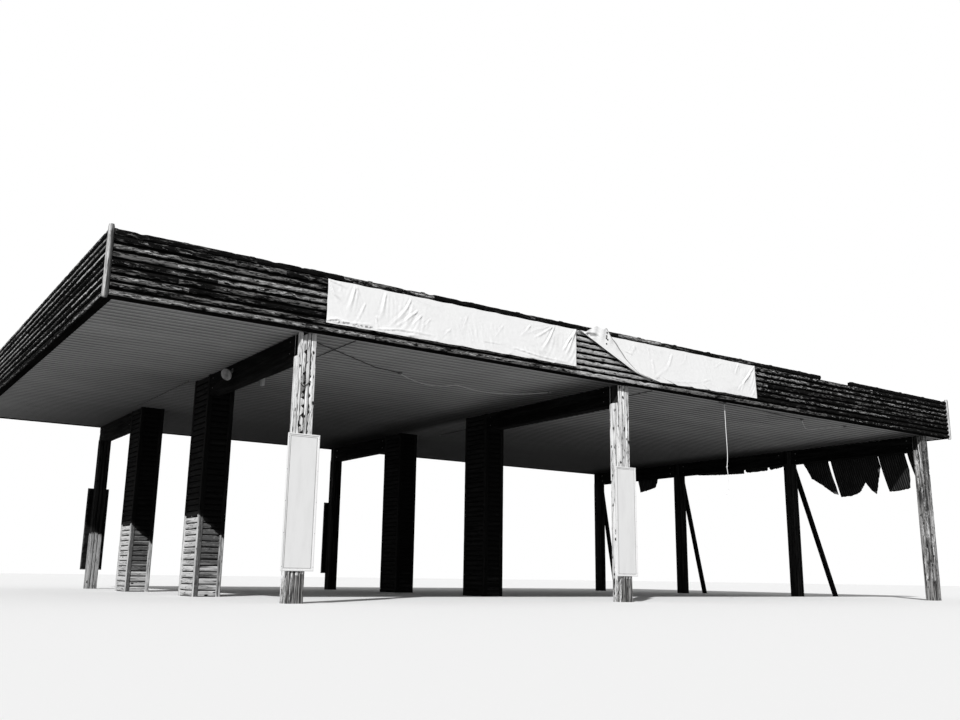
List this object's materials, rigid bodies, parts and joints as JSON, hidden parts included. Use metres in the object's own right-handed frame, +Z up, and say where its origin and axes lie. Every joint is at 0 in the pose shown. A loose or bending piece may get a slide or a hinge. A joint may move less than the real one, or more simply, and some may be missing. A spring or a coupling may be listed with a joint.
{
  "type": "filling station canopy",
  "caption": "Weathered timber filling station canopy with a log fascia, ribbed metal ceiling, clad posts and columns, bare banners and torn sheets at one end.",
  "frame": {"origin": "middle of the overall box, on the ground under the supports", "axes": "+X along the front from the left end to the end with the props, +Y from the front with the banners to the back, +Z up"},
  "size_m": [25.61, 14.9142, 5.947],
  "materials": {
    "weathered_logs": "half-round slabs with flaking pale paint on dark, dry wood",
    "framing": "rough sawn, weathered",
    "peeled_pole": "peeled, sun-bleached, checked",
    "post_slabs": "peeled slabs with worn pale paint",
    "column_siding": "half-round log siding, paint mostly gone",
    "beam_timber": "dark stained boards",
    "soffit_metal": "finely ribbed sheet, dulled paint",
    "roof_covering": "mineral felt in lapped strips, dusty",
    "sign_board": "bare white panel with a worn rim",
    "banner_cloth": "creased bare cloth, tied along its edges",
    "torn_metal": "corrugated, torn and bent, weathered dark",
    "lamp_metal": "dull enamel with frosted jars",
    "cord": "sun-bleached sheath"
  },
  "bodies": {
    "root": {"roof_deck": "roof_covering", "roof_trusses": "framing", "soffit": "soffit_metal", "front_frame": "framing", "back_frame": "framing", "left_frame": "framing", "right_frame": "framing", "front_logs": "weathered_logs", "back_logs": "weathered_logs", "left_logs": "weathered_logs", "right_logs": "weathered_logs", "corner_poles": "peeled_pole", "left_front_beam": "beam_timber", "left_rear_beam": "beam_timber", "middle_front_beam": "beam_timber", "middle_rear_beam": "beam_timber", "end_beam": "beam_timber", "left_front_post": "post_slabs", "left_back_post": "post_slabs", "middle_front_post": "post_slabs", "middle_back_post": "post_slabs", "end_front_post": "post_slabs", "end_second_post": "post_slabs", "end_third_post": "post_slabs", "end_back_post": "post_slabs", "left_front_column": "column_siding", "left_rear_column": "column_siding", "middle_front_column": "column_siding", "middle_rear_column": "column_siding", "front_prop": "beam_timber", "middle_prop": "beam_timber", "back_prop": "beam_timber", "left_front_board": "sign_board", "left_back_board": "sign_board", "middle_front_board": "sign_board", "middle_back_board": "sign_board", "lamps": "lamp_metal", "long_banner": "banner_cloth", "loose_banner": "banner_cloth", "front_torn_sheets": "torn_metal", "torn_band": "torn_metal", "back_torn_sheet": "torn_metal", "hanging_cord": "cord", "left_slack_wire": "cord", "right_slack_wire": "cord"}
  },
  "joints": []
}
